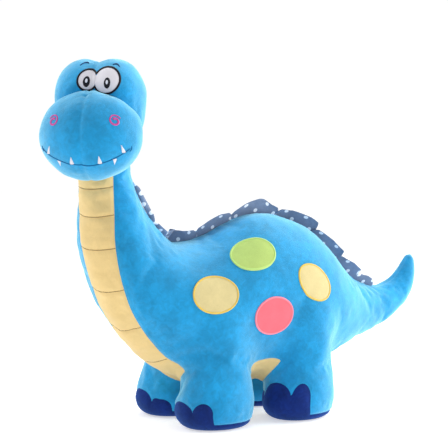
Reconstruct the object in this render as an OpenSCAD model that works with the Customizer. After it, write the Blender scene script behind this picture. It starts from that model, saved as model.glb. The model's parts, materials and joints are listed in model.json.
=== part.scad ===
// Stuffed long-necked dinosaur, standing on four stuffed legs with its head turned to its left.
// Millimetres, +Z up. The toy faces -X, its left side is -Y, and it stands on the plane Z = 0.

/* [Fabric] */
// Thickness of the short-pile plush, pile included
plush_t = 2; // [1.5:0.5:3]
// Thickness of an applique patch or embroidery pad
patch_t = 1.8; // [1:0.2:2.4]
// Thickness of the folded cotton frill
frill_t = 4; // [3:0.5:5]

/* [Head] */
// How far the head is turned to the toy's left, in degrees
head_turn = 48; // [0:1:54]
// Half the distance between the two brow domes
brow_half = 20; // [18:1:23]
// Distance from the neck's axis forward to the middle of the muzzle
muzzle_reach = 57; // [52:1:60]
// Height of the muzzle's middle above the ground
muzzle_z = 399; // [396:1:404]

/* [Legs] */
// Distance from the middle of the stance forward to the front legs
front_leg_x = -68; // [-74:1:-64]
// Distance from the middle of the stance back to the rear legs
rear_leg_x = 68; // [64:1:74]
// Half the distance between the left and right legs
leg_y = 57; // [55:1:60]
// How far the rear feet turn outwards, in degrees
rear_toe_out = 20; // [0:1:25]
// Height of the front toe caps
front_toe_h = 40; // [34:1:44]
// Height of the rear toe caps
rear_toe_h = 55; // [48:1:58]

/* [Hidden] */
$fn = 32;

blue = [0.20, 0.62, 0.86];
black = [0.04, 0.05, 0.10];
rose = [0.93, 0.35, 0.60];
ink = [0.05, 0.16, 0.28];
navy = [0.13, 0.20, 0.50];
cream = [0.95, 0.85, 0.60];
lime = [0.76, 0.86, 0.45];
pink = [0.98, 0.50, 0.56];
slate = [0.42, 0.50, 0.62];
wadding = [0.95, 0.95, 0.93];

// Gap between pieces that only lie on each other, and between pieces that turn past each other.
lay_gap = 0.4;
turn_gap = 0.7;
// Room between the cloth and the filling, and between a leg's top and the trunk's cloth.
fill_gap = 3;
join_gap = 3.2;

// ---- Trunk: one run of sections from the top of the neck to the tip of the tail ----
// Each row is back [x, z], belly [x, z], half width, half width of the pale strip, twist in degrees.
trunk = [
    [-176, 396, -252, 396, 38, 30, 30],
    [-174, 345, -249, 342, 37, 30, 28],
    [-158, 306, -248, 296, 45, 31, 26],
    [-137, 275, -245, 252, 55, 31, 23],
    [-110, 254, -233, 206, 66, 31, 19],
    [-82, 251, -214, 162, 77, 31, 16],
    [-54, 258, -184, 120, 86, 32, 13],
    [-24, 273, -142, 82, 92, 36, 9],
    [10, 286, -85, 57, 96, 52, 3],
    [45, 286, -15, 49, 97, 70, 0],
    [80, 277, 55, 52, 94, 70, 0],
    [115, 257, 112, 64, 85, 44, 0],
    [146, 226, 158, 80, 69, 2, 0],
    [172, 202, 192, 94, 53, 0, 0],
    [200, 184, 226, 106, 40, 0, 0],
    [227, 174, 255, 116, 31, 0, 0],
    [250, 173, 283, 131, 25, 0, 0],
    [273, 182, 305, 154, 20, 0, 0],
    [289, 198, 315, 182, 15, 0, 0],
    [301, 214, 315, 207, 7.5, 0, 0]
];
strip_end = 12;
// Row where the neck ends inside the head.
neck_top = 0;
last_station = len(trunk) - 1;

// The neck bends, the tail wags and its tip curls about these points, each inside a ball of its own.
neck_pivot = [-183, 0, 250];
neck_ball = 66;
neck_lean = -32;
tail_pivot = [165, 0, 148];
tail_ball = 77;
tail_lean = 78;
tip_pivot = [258, 0, 147];
tip_ball = 36;
tip_lean = 52;

// Smooth run through the rows of a table, at a row number that may be between two rows.
function row(table, i) = table[max(0, min(len(table) - 1, i))];
function between(table, u) =
    let (i = min(floor(u), len(table) - 2), t = u - i,
        a = row(table, i - 1), b = row(table, i), c = row(table, i + 1), d = row(table, i + 2))
    0.5 * (2 * b + t * (c - a) + t * t * (2 * a - 5 * b + 4 * c - d) + t * t * t * (3 * b - a - 3 * c + d));

function turned(p, centre, angle) =
    let (x = p[0] - centre[0], y = p[1] - centre[1])
    [centre[0] + x * cos(angle) - y * sin(angle), centre[1] + x * sin(angle) + y * cos(angle), p[2]];

// Point on the trunk at row u and angle phi, 0 along the back and 180 along the belly,
// out millimetres proud of it.
function trunk_point(u, phi, out = 0) =
    let (s = between(trunk, u),
        centre = [(s[0] + s[2]) / 2, 0, (s[1] + s[3]) / 2],
        back = [s[0], 0, s[1]] - centre,
        depth = norm(back),
        width = max(s[4], 1),
        p = centre + back / depth * (depth + out) * cos(phi) + [0, (width + out) * sin(phi), 0])
    turned(p, centre, s[6]);

function strip_edge(u) =
    let (s = between(trunk, u))
    180 - asin(min(1, max(0, s[5]) / max(s[4], 1)));

function steps(from, to, n) = [for (i = [0:n]) from + (to - from) * i / n];

// ---- Closed solids from grids of points ----
function quad(a, b, c, d) = [[a, b, c], [a, c, d]];

// A slab between two grids of the same size, such as a cut piece of fabric.
module slab(outer, inner) {
    rows = len(outer);
    cols = len(outer[0]);
    n = rows * cols;
    last = (rows - 1) * cols;
    faces = concat(
        [for (i = [0:rows - 2], j = [0:cols - 2]) let (k = i * cols + j) each concat(
            quad(k, k + cols, k + cols + 1, k + 1),
            quad(n + k, n + k + 1, n + k + cols + 1, n + k + cols))],
        [for (i = [0:rows - 2]) let (k = i * cols, m = k + cols - 1) each concat(
            quad(k, n + k, n + k + cols, k + cols),
            quad(m, m + cols, n + m + cols, n + m))],
        [for (j = [0:cols - 2]) each concat(
            quad(j, j + 1, n + j + 1, n + j),
            quad(last + j, n + last + j, n + last + j + 1, last + j + 1))]);
    polyhedron(concat([for (r = outer) each r], [for (r = inner) each r]), faces);
}

// A solid through closed rings of the same size, with flat ends.
module rings_solid(rings) {
    rows = len(rings);
    cols = len(rings[0]);
    faces = concat(
        [for (i = [0:rows - 2], j = [0:cols - 1]) each
            let (k = (j + 1) % cols) quad(i * cols + j, i * cols + k, (i + 1) * cols + k, (i + 1) * cols + j)],
        [[for (j = [cols - 1:-1:0]) j]],
        [[for (j = [0:cols - 1]) (rows - 1) * cols + j]]);
    polyhedron([for (r = rings) each r], faces);
}

// Fabric is cut as a triangle mesh, so the cuts below stay on triangles.
module as_mesh() resize([0, 0, 0]) children();

// ---- Trunk pieces ----
// One side's panel between two rows of the trunk, from the back seam to the strip or the belly seam.
module trunk_panel(side, from, to, rows, cols = 11) {
    function grid(out) = [for (u = steps(from, to, rows))
        let (edge = u < strip_end + 0.01 ? strip_edge(u) : 180)
        [for (a = steps(0, edge, cols)) trunk_point(u, side * a, out)]];
    if (side > 0) slab(grid(-plush_t), grid(0));
    else slab(grid(0), grid(-plush_t));
}

module trunk_strip(from, to, rows, cols = 4) {
    function grid(out) = [for (u = steps(from, to, rows))
        [for (a = steps(strip_edge(u), 360 - strip_edge(u), cols)) trunk_point(u, a, out)]];
    slab(grid(-plush_t), grid(0));
}

module trunk_core(from, to, rows, cols, out = -plush_t - fill_gap)
    rings_solid([for (u = steps(from, to, rows))
        [for (j = [0:cols - 1]) trunk_point(u, 360 * j / cols, out)]]);

// Everything on the far side of a joint's plane, which leans back from upright about the pivot.
module beyond(pivot, lean) {
    big = 700;
    translate(pivot) rotate([0, lean, 0]) translate([-big / 2, -big / 2, 0]) cube(big);
}

module ball(pivot, radius) translate(pivot) sphere(radius, $fn = 36);

// The neck keeps what is above its joint and the ball, and the torso loses both.
module neck_part() as_mesh() intersection() {
    children();
    union() {
        beyond(neck_pivot, neck_lean);
        ball(neck_pivot, neck_ball - turn_gap);
    }
}

module torso_part() as_mesh() difference() {
    children();
    beyond(neck_pivot, neck_lean);
    ball(neck_pivot, neck_ball);
    beyond(tail_pivot, tail_lean);
    ball(tail_pivot, tail_ball);
}

module tail_part() as_mesh() difference() {
    intersection() {
        children();
        union() {
            beyond(tail_pivot, tail_lean);
            ball(tail_pivot, tail_ball - turn_gap);
        }
    }
    beyond(tip_pivot, tip_lean);
    ball(tip_pivot, tip_ball);
}

module tip_part() as_mesh() intersection() {
    children();
    union() {
        beyond(tip_pivot, tip_lean);
        ball(tip_pivot, tip_ball - turn_gap);
    }
}

module side_panel(side) torso_part() trunk_panel(side, 2, 14, 18, 8);
module neck_panel(side) neck_part() trunk_panel(side, neck_top, 6, 11, 7);
module tail_panel(side) tail_part() trunk_panel(side, 11, 17.5, 10, 7);
module tail_tip(side) tip_part() trunk_panel(side, 14, last_station, 9, 7);

// ---- Head: made facing -X on the neck's axis, then turned ----
head_x = -214;
crown_x = -10;
crown_z = 452;
// Half length, half width, and half height above and below the widest level.
crown_r = [52, 40, 48, 90];
muzzle_r = [58, 68, 59.3];
socket_r = 40;
socket_z = 400;

module on_neck() translate([head_x, 0, 0]) rotate([0, 0, head_turn]) children();

// An egg with its own half heights above and below its widest level, ending in small flats.
module egg(r, inset, fn) {
    pole = 0.3;
    rings_solid([for (i = [0:fn / 2])
        let (b = -90 + 360 * max(pole, min(fn / 2 - pole, i)) / fn, high = (b > 0 ? r[2] : r[3]) - inset)
        [for (j = [0:fn - 1]) let (a = -360 * (j + 0.5) / fn)
            [(r[0] - inset) * cos(b) * cos(a), (r[1] - inset) * cos(b) * sin(a), high * sin(b)]]]);
}

module half_space(side) {
    big = 400;
    translate([-big / 2, side > 0 ? 0 : -big, 0]) cube([big, big, 2 * big]);
}

module dome(side, inset = 0) translate([crown_x, side * brow_half, crown_z]) egg(crown_r, inset, 24);
module muzzle_shape(inset = 0)
    translate([-muzzle_reach, 0, muzzle_z]) egg([each muzzle_r, muzzle_r[2]], inset, 26);
module neck_socket(extra = 0) cylinder(r = socket_r, h = socket_z + extra, $fn = 40);

module crown(side) as_mesh() on_neck() difference() {
    intersection() {
        dome(side);
        half_space(side);
    }
    dome(side, plush_t);
    muzzle_shape(-lay_gap);
    neck_socket();
}

module muzzle(side) as_mesh() on_neck() difference() {
    intersection() {
        muzzle_shape();
        half_space(side);
    }
    muzzle_shape(plush_t);
    dome(-1);
    dome(1);
    neck_socket();
}

// One rounded core fills both domes: depth, half width, height above and below its centre.
crown_core_r = [41, 56, 37, 72];
// The socket is turned a little here, so that its facets and the core's never meet edge to edge.
facet_turn = 1.3;
module head_core() on_neck() as_mesh() difference() {
    union() {
        muzzle_shape(plush_t + lay_gap);
        translate([crown_x, 0, crown_z]) egg(crown_core_r, 0, 22);
    }
    rotate(facet_turn) neck_socket(lay_gap);
}

// Front of the crown at (y, z), out millimetres proud of it, in the head's own frame.
function dome_x(side, y, z, out) =
    let (high = crown_r[z > crown_z ? 2 : 3] + out,
        k = 1 - pow((y - side * brow_half) / (crown_r[1] + out), 2) - pow((z - crown_z) / high, 2))
    crown_x - (crown_r[0] + out) * sqrt(max(0.02, k));
function crown_front(y, z, out) = [min(dome_x(-1, y, z, out), dome_x(1, y, z, out)), y, z];

// Point on the muzzle at azimuth a from its front, towards -Y where a is negative, and elevation b.
function muzzle_point(a, b, out) =
    [-muzzle_reach - (muzzle_r[0] + out) * cos(b) * cos(a),
        (muzzle_r[1] + out) * cos(b) * sin(a),
        muzzle_z + (muzzle_r[2] + out) * sin(b)];

// A disc's grid: s and t from -1 to 1 carried to a round outline.
function disc(s, t) = [s * sqrt(1 - t * t / 2), t * sqrt(1 - s * s / 2)];

// The eyes are two round patches that run into each other, each [y, z, radius, pupil y, pupil z].
eyes = [[-20.3, 470.5, 16.2, -22.5, 466.5], [4.7, 472, 11.8, 6, 468]];
eyes_meet_y = -5.8;
border_w = 2.4;
pupil_r = [4.2, 7];

// A round patch on the crown's front between two heights proud of it.
module crown_patch(y, z, ry, rz, low, high, n) {
    function grid(out) = [for (s = steps(-1, 1, n)) [for (t = steps(-1, 1, n))
        let (p = disc(s, t)) crown_front(y + ry * p[0], z + rz * p[1], out)]];
    slab(grid(high), grid(low));
}

// An eye's white, from the line where the eyes meet to its outer edge.
module eye_white(eye) {
    way = sign(eye[0] - eyes_meet_y);
    function edge(k, reach) = eye[0] + way * reach * sqrt(max(0, 1 - k * k)) * eye[2];
    function inner(k) = way * max(way * edge(k, -1), way * eyes_meet_y + 0.05);
    function grid(out) = [for (k = steps(-0.99, 0.99, 10)) [for (m = [0:4])
        crown_front(inner(k) + (edge(k, 1) - inner(k)) * m / 4, eye[1] + k * eye[2], out)]];
    slab(grid(way > 0 ? lay_gap : patch_t), grid(way > 0 ? patch_t : lay_gap));
}

// The dark stitched line round an eye, open where the eyes meet.
module eye_line(eye) {
    way = sign(eye[0] - eyes_meet_y);
    open = acos(abs(eye[0] - eyes_meet_y) / (eye[2] + border_w)) + 1;
    function grid(out) = [for (a = steps(open, 360 - open, 20)) [for (w = [0.1, border_w])
        crown_front(eye[0] - way * (eye[2] + w) * cos(a), eye[1] + (eye[2] + w) * sin(a), out)]];
    slab(grid(way > 0 ? patch_t : lay_gap), grid(way > 0 ? lay_gap : patch_t));
}

// An arched line of thread over an eye, from its inner to its outer end.
module brow(from, to, z) {
    way = sign(to - from);
    function grid(out) = [for (k = steps(0, 1, 7)) [for (w = [-0.9, 0.9])
        let (arch = 1.6 * sin(180 * k) - 3 * k * k, width = w * sin(30 + 120 * k))
        crown_front(from + (to - from) * k, z + arch + width, out)]];
    slab(grid(way > 0 ? lay_gap + 0.9 : lay_gap), grid(way > 0 ? lay_gap : lay_gap + 0.9));
}

// A strip of embroidery on the muzzle along a run of [azimuth, elevation, half width in degrees].
module muzzle_thread(run, low, high) {
    n = len(run);
    function along(i) = run[min(n - 1, i + 1)] - run[max(0, i - 1)];
    function grid(out) = [for (i = [0:n - 1])
        let (d = along(i), l = norm([d[0], d[1]]))
        [for (w = [-1, 1])
            muzzle_point(run[i][0] - w * run[i][2] * d[1] / l, run[i][1] + w * run[i][2] * d[0] / l, out)]];
    slab(grid(low), grid(high));
}

mouth_half = 60;
mouth_mid = -3;
function mouth_b(a) = -40 + 24 * pow((a - mouth_mid) / mouth_half, 2);

// A round cheek swirl that winds inwards and ends in a thicker knob.
module cheek_swirl(side)
    as_mesh() on_neck() muzzle_thread([for (t = steps(0, 1, 20)) let (w = 20 + 480 * t, r = 7 - 4.4 * t)
        [mouth_mid + side * (39 + r * cos(w)), 19 + r * sin(w), 0.6 + 0.9 * t]],
        1.4, lay_gap);

// A tooth with its foot on the mouth line, its tip leaning by lean degrees and pointing up where up is 1.
module tooth(a, up, tall, lean) {
    function grid(out) = [for (k = [0, 0.5, 0.98]) [for (w = [-1, 1])
        let (azimuth = mouth_mid + a + w * 2.6 * (1 - k) + lean * k)
        muzzle_point(azimuth, mouth_b(mouth_mid + a) + up * (2.4 + tall * k), out)]];
    slab(grid(up > 0 ? lay_gap : 1.6), grid(up > 0 ? 1.6 : lay_gap));
}

// ---- Legs ----
// Each row is height, half length, half width, and how far the section sits forward of the leg's axis.
leg_rows = [
    [6, 50, 42, 5],
    [12, 54, 46, 6],
    [22, 57, 48, 7],
    [36, 57, 48, 6],
    [56, 52, 46, 3],
    [78, 47, 44, 1],
    [104, 46, 43, 0],
    [130, 44, 41, 0],
    [150, 40, 38, 0]
];
sole_t = leg_rows[0][0];

// Row number of the leg's table at a height.
function leg_row(z, i = 0) =
    i > len(leg_rows) - 3 || z <= leg_rows[i + 1][0]
        ? i + (z - leg_rows[i][0]) / (leg_rows[i + 1][0] - leg_rows[i][0])
        : leg_row(z, i + 1);

// Point on a leg that stands at the origin, at a height and an azimuth from its toe.
function leg_point(z, a, out = 0) =
    let (s = between(leg_rows, leg_row(z)))
    [-s[3] - (s[1] + out) * cos(a), -(s[2] + out) * sin(a), z];

module at_leg(x, side) translate([x, side * leg_y, 0])
    rotate([0, 0, x > 0 ? -side * rear_toe_out : 0]) children();

// Heights of a leg's rings above its sole.
ring_z = [12, 22, 36, 54, 78, 104, 130, 150];
module leg_solid(out, from, cols = 18)
    rings_solid([for (z = concat([from], ring_z))
        [for (j = [0:cols - 1]) leg_point(z, -360 * j / cols, out)]]);

module leg(x, side) as_mesh() difference() {
    at_leg(x, side) difference() {
        leg_solid(0, sole_t);
        translate([0, 0, -0.01]) leg_solid(-plush_t, sole_t);
    }
    trunk_core(3, 13.5, 14, 18, join_gap);
}

module leg_core(x, side) as_mesh() difference() {
    at_leg(x, side) leg_solid(-plush_t - 1, sole_t + lay_gap);
    trunk_core(3, 13.5, 14, 18, join_gap);
}

// The toe cap's edge has a wide middle lobe and a narrower one each side, with notches between them.
toe_half = 62;
notch_a = 30;
function lobe(a, mid, half) = sqrt(max(0, 1 - pow((a - mid) / half, 2)));
function toe_edge(a, h) =
    let (middle = lobe(abs(a), 0, notch_a),
        side = lobe(abs(a), (toe_half + notch_a) / 2, (toe_half - notch_a) / 2))
    h * (0.66 + 0.34 * max(middle, side));

module toe_cap(x, side) {
    h = x > 0 ? rear_toe_h : front_toe_h;
    function grid(out) = [for (a = steps(-toe_half, toe_half, 16))
        [for (k = steps(0, 1, 4)) leg_point(sole_t + lay_gap + (toe_edge(a, h) - sole_t) * k, a, out)]];
    as_mesh() at_leg(x, side) slab(grid(1), grid(patch_t));
}

module sole(x, side) at_leg(x, side) linear_extrude(sole_t)
    polygon([for (j = [0:31]) let (p = leg_point(sole_t, 11.25 * j)) [p[0], p[1]]]);

// ---- Round spots sewn on both flanks ----
// Each spot's row on the trunk, angle from the back, half length, half height and tilt.
shoulder_spot = [6.3, 90, 33.5, 25.5, 0];
back_spot = [7.5, 54.5, 31, 20, 0];
flank_spot = [8.75, 98, 32, 27, 0];
rump_spot = [9.9, 75.5, 31, 23.5, -38];

// Point on the flank that is [along, up] from a spot's middle when seen from the side.
function flank_point(place, side, along, up, out) =
    let (u = place[0], a = place[1], p = trunk_point(u, side * a),
        per_row = (trunk_point(u + 0.05, side * a) - p) / 0.05,
        per_degree = trunk_point(u, side * (a + 1)) - p,
        det = per_row[0] * per_degree[2] - per_degree[0] * per_row[2],
        rows = (along * per_degree[2] - per_degree[0] * up) / det,
        degrees = (per_row[0] * up - along * per_row[2]) / det)
    trunk_point(u + rows, side * (a + degrees), out);

module spot(place, side) {
    c = cos(place[4]);
    s = sin(place[4]);
    function grid(out) = [for (i = steps(-1, 1, 6)) [for (j = steps(-1, 1, 6))
        let (p = disc(i, j), x = place[2] * p[0], z = place[3] * p[1])
        flank_point(place, side, x * c - z * s, x * s + z * c, out)]];
    as_mesh() slab(grid(side > 0 ? patch_t : lay_gap), grid(side > 0 ? lay_gap : patch_t));
}

// ---- Frill of folded cotton along the back seam ----
// Each plate's first row, last row on the trunk, and height above its foot, which clears the seam.
frill_foot = 1.8;
neck_plates = [[1.9, 2.75, 7], [2.8, 3.35, 9]];
back_plates = [[4.1, 5.55, 17], [5.6, 7.0, 21], [7.05, 9.35, 26], [9.4, 11.2, 21]];
tail_plates = [[11.85, 12.85, 20], [12.9, 14.05, 16], [14.1, 15.15, 9]];

// Point on the frill at row u of the trunk, at a height above the seam.
function frill_point(u, h, y) =
    let (s = between(trunk, u), back = [s[0] - s[2], s[1] - s[3]])
    turned([s[0] + back[0] / norm(back) * h, y, s[1] + back[1] / norm(back) * h],
        [(s[0] + s[2]) / 2, 0], s[6]);

module frill_plate(plate, sway) {
    function height(k) = plate[2] * (0.22 + 0.78 * pow(sin(180 * k), 0.75));
    function grid(side) = [for (k = steps(0.001, 0.999, 8))
        [for (h = steps(0, 1, 2))
            frill_point(plate[0] + (plate[1] - plate[0]) * k, frill_foot + height(k) * h,
                side * frill_t / 2 + sway * h * h * sin(180 * k))]];
    slab(grid(1), grid(-1));
}

module frill(plates) as_mesh() union()
    for (i = [0:len(plates) - 1]) frill_plate(plates[i], i % 2 == 0 ? -4 : 4);

// ---- One module for each sub-part ----
module side_panel_left() color(blue) side_panel(-1);
module side_panel_right() color(blue) side_panel(1);
module belly_strip() color(cream) torso_part() trunk_strip(2, strip_end, 15);
module torso_stuffing() color(wadding) torso_part() trunk_core(2, 14, 14, 18);

module neck_panel_left() color(blue) neck_panel(-1);
module neck_panel_right() color(blue) neck_panel(1);
module throat_strip() color(cream) neck_part() trunk_strip(neck_top, 6, 11);
module neck_stuffing() color(wadding) neck_part() trunk_core(neck_top + 0.05, 6, 9, 18);

module eye_borders() color(black) as_mesh() on_neck() difference() {
    for (eye = eyes) eye_line(eye);
    muzzle_shape(-lay_gap);
}

module eye_whites() color("white") as_mesh() on_neck() difference() {
    for (eye = eyes) eye_white(eye);
    muzzle_shape(-lay_gap);
}

module pupils() color(black) as_mesh() on_neck()
    for (eye = eyes)
        crown_patch(eye[3], eye[4], pupil_r[0], pupil_r[1], patch_t + 0.6, patch_t + 1.1, 5);

module eye_highlights() color("white") as_mesh() on_neck()
    for (eye = eyes)
        crown_patch(eye[3] - 0.5, eye[4] + 1, 1.6, 2.8, patch_t + 1.3, patch_t + 1.7, 3);

module brow_lines() color(ink) as_mesh() on_neck() {
    brow(-23, -34, 493);
    brow(6, 18, 494.5);
}

module mouth_line() color(ink) as_mesh() on_neck()
    muzzle_thread([for (a = steps(-mouth_half, mouth_half, 24))
        [mouth_mid + a, mouth_b(mouth_mid + a), 0.6]], 1.2, lay_gap);

module lower_teeth() color("white") as_mesh() on_neck()
    for (side = [-1, 1]) {
        tooth(side * 19, 1, 11, side * -3);
        tooth(side * 50, 1, 11, side * -8);
    }

module upper_teeth() color("white") as_mesh() on_neck()
    for (side = [-1, 1]) tooth(side * 37, -1, 9, side * 5);

module crown_left() color(blue) crown(-1);
module crown_right() color(blue) crown(1);
module muzzle_left() color(blue) muzzle(-1);
module muzzle_right() color(blue) muzzle(1);
module head_stuffing() color(wadding) head_core();
module cheek_swirl_left() color(rose) cheek_swirl(-1);
module cheek_swirl_right() color(rose) cheek_swirl(1);

module tail_panel_left() color(blue) tail_panel(-1);
module tail_panel_right() color(blue) tail_panel(1);
module tail_stuffing() color(wadding) tail_part() trunk_core(11, 17.5, 8, 18);
module tail_tip_left() color(blue) tail_tip(-1);
module tail_tip_right() color(blue) tail_tip(1);
module tail_tip_stuffing() color(wadding) tip_part() trunk_core(14, last_station - 0.4, 8, 16);

module leg_front_left() color(blue) leg(front_leg_x, -1);
module leg_front_right() color(blue) leg(front_leg_x, 1);
module leg_rear_left() color(blue) leg(rear_leg_x, -1);
module leg_rear_right() color(blue) leg(rear_leg_x, 1);
module leg_stuffing_front_left() color(wadding) leg_core(front_leg_x, -1);
module leg_stuffing_front_right() color(wadding) leg_core(front_leg_x, 1);
module leg_stuffing_rear_left() color(wadding) leg_core(rear_leg_x, -1);
module leg_stuffing_rear_right() color(wadding) leg_core(rear_leg_x, 1);
module toe_cap_front_left() color(navy) toe_cap(front_leg_x, -1);
module toe_cap_front_right() color(navy) toe_cap(front_leg_x, 1);
module toe_cap_rear_left() color(navy) toe_cap(rear_leg_x, -1);
module toe_cap_rear_right() color(navy) toe_cap(rear_leg_x, 1);
module sole_front_left() color(navy) sole(front_leg_x, -1);
module sole_front_right() color(navy) sole(front_leg_x, 1);
module sole_rear_left() color(navy) sole(rear_leg_x, -1);
module sole_rear_right() color(navy) sole(rear_leg_x, 1);

module spot_shoulder_left() color(cream) spot(shoulder_spot, -1);
module spot_back_left() color(lime) spot(back_spot, -1);
module spot_flank_left() color(pink) spot(flank_spot, -1);
module spot_rump_left() color(cream) spot(rump_spot, -1);
module spot_shoulder_right() color(cream) spot(shoulder_spot, 1);
module spot_back_right() color(lime) spot(back_spot, 1);
module spot_flank_right() color(pink) spot(flank_spot, 1);
module spot_rump_right() color(cream) spot(rump_spot, 1);

module neck_frill() color(slate) frill(neck_plates);
module back_frill() color(slate) frill(back_plates);
module tail_frill() color(slate) frill(tail_plates);

side_panel_left();
side_panel_right();
belly_strip();
torso_stuffing();
neck_panel_left();
neck_panel_right();
throat_strip();
neck_stuffing();
crown_left();
crown_right();
muzzle_left();
muzzle_right();
head_stuffing();
eye_borders();
eye_whites();
pupils();
eye_highlights();
brow_lines();
cheek_swirl_left();
cheek_swirl_right();
mouth_line();
upper_teeth();
lower_teeth();
tail_panel_left();
tail_panel_right();
tail_stuffing();
tail_tip_left();
tail_tip_right();
tail_tip_stuffing();
leg_front_left();
leg_front_right();
leg_rear_left();
leg_rear_right();
leg_stuffing_front_left();
leg_stuffing_front_right();
leg_stuffing_rear_left();
leg_stuffing_rear_right();
toe_cap_front_left();
toe_cap_front_right();
toe_cap_rear_left();
toe_cap_rear_right();
sole_front_left();
sole_front_right();
sole_rear_left();
sole_rear_right();
spot_shoulder_left();
spot_back_left();
spot_flank_left();
spot_rump_left();
spot_shoulder_right();
spot_back_right();
spot_flank_right();
spot_rump_right();
neck_frill();
back_frill();
tail_frill();
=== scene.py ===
"""Looks of a stuffed long-necked dinosaur: plush panels over stuffing, embroidery, patches and a frill.

Lengths in the shape code are millimetres, in the frame of the CAD model, and become metres in to_object().
"""

import json
import math

import bpy
import numpy as np
import openvdb
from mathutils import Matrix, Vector
from mathutils.bvhtree import BVHTree
from mathutils.kdtree import KDTree


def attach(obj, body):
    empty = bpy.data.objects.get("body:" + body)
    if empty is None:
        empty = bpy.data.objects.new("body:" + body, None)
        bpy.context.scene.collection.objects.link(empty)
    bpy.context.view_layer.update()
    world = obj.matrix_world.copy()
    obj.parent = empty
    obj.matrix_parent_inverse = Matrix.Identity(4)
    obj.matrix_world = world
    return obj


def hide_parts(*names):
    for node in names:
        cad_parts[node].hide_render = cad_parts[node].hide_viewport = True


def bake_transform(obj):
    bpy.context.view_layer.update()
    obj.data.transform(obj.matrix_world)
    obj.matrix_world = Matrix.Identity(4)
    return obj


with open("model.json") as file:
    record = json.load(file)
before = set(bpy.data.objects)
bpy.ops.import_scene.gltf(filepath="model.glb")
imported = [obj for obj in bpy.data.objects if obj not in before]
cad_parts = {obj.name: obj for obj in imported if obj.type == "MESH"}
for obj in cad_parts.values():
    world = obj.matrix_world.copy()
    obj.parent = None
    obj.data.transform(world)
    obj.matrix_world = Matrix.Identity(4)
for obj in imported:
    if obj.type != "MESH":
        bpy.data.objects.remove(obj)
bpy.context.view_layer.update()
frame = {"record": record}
MM = 0.001
# where each joint turns, in millimetres
PIVOTS = {joint["name"]: np.array(joint["pos_m"]) / MM for joint in frame["record"]["behaviour"]["joints"]}
# a distance in millimetres that stands for nowhere near
FAR = 99.0

# ---------------------------------------------------------------- camera
CAMERA_AT = Vector((-1.1105, -1.7772, 0.4191))
CAMERA_AZIMUTH, CAMERA_YAW, CAMERA_PITCH = -32.0, 0.561, 4.018
LENS = 119.0


def make_camera():
    data = bpy.data.cameras.new("camera")
    data.lens, data.sensor_width, data.clip_end = LENS, 36.0, 50.0
    camera = bpy.data.objects.new("camera", data)
    bpy.context.scene.collection.objects.link(camera)
    heading = math.radians(CAMERA_AZIMUTH + CAMERA_YAW)
    pitch = math.radians(CAMERA_PITCH)
    level = math.cos(pitch)
    forward = Vector((-math.sin(heading) * level, math.cos(heading) * level, -math.sin(pitch)))
    camera.location = CAMERA_AT
    camera.rotation_mode = "QUATERNION"
    camera.rotation_quaternion = forward.to_track_quat("-Z", "Y")
    bpy.context.scene.camera = camera


make_camera()

# ---------------------------------------------------------------- shape of the trunk and legs
# back [x, z], belly [x, z], half width, half width of the pale strip, twist in degrees
TRUNK = np.array([
    [-176, 396, -252, 396, 38, 30, 30],
    [-174, 345, -249, 342, 37, 30, 28],
    [-158, 306, -248, 296, 45, 31, 26],
    [-137, 275, -245, 252, 55, 31, 23],
    [-110, 254, -233, 206, 66, 31, 19],
    [-82, 251, -214, 162, 77, 31, 16],
    [-54, 258, -184, 120, 86, 32, 13],
    [-24, 273, -142, 82, 92, 36, 9],
    [10, 286, -85, 57, 96, 52, 3],
    [45, 286, -15, 49, 97, 70, 0],
    [80, 277, 55, 52, 94, 70, 0],
    [115, 257, 112, 64, 85, 44, 0],
    [146, 226, 158, 80, 69, 2, 0],
    [172, 202, 192, 94, 53, 0, 0],
    [200, 184, 226, 106, 40, 0, 0],
    [227, 174, 255, 116, 31, 0, 0],
    [250, 173, 283, 131, 25, 0, 0],
    [273, 182, 305, 154, 20, 0, 0],
    [289, 198, 315, 182, 15, 0, 0],
    [301, 214, 315, 207, 7.5, 0, 0],
], float)
LAST = len(TRUNK) - 1
STRIP_END = 12.0
# height, half length, half width, how far the section sits forward
LEG = np.array([
    [0, 38, 30, 3],
    [1.5, 44, 36, 4],
    [6, 50, 42, 5],
    [12, 54, 46, 6],
    [22, 57, 48, 7],
    [36, 57, 48, 6],
    [56, 52, 46, 3],
    [78, 47, 44, 1],
    [104, 46, 43, 0],
    [130, 44, 41, 0],
    [150, 40, 38, 0],
], float)
LEG_X, LEG_Y = 68.0, 57.0
REAR_TOE_OUT = math.radians(20)
LEGS = {
    "front_left": (-LEG_X, -1), "front_right": (-LEG_X, 1),
    "rear_left": (LEG_X, -1), "rear_right": (LEG_X, 1),
}


def between(table, u):
    """Catmull-Rom rows of a table at the row numbers u."""
    u = np.asarray(u, float)
    last = len(table) - 1
    i = np.clip(np.floor(u).astype(int), 0, last - 1)
    t = (u - i)[..., None]
    a, b, c, d = (table[np.clip(i + k, 0, last)] for k in (-1, 0, 1, 2))
    return 0.5 * (2 * b + t * (c - a) + t**2 * (2 * a - 5 * b + 4 * c - d) + t**3 * (3 * b - a - 3 * c + d))


def trunk_frame(u):
    s = between(TRUNK, u)
    centre = np.stack([(s[..., 0] + s[..., 2]) / 2, 0 * s[..., 0], (s[..., 1] + s[..., 3]) / 2], -1)
    back = np.stack([s[..., 0], 0 * s[..., 0], s[..., 1]], -1) - centre
    return s, centre, back


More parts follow.
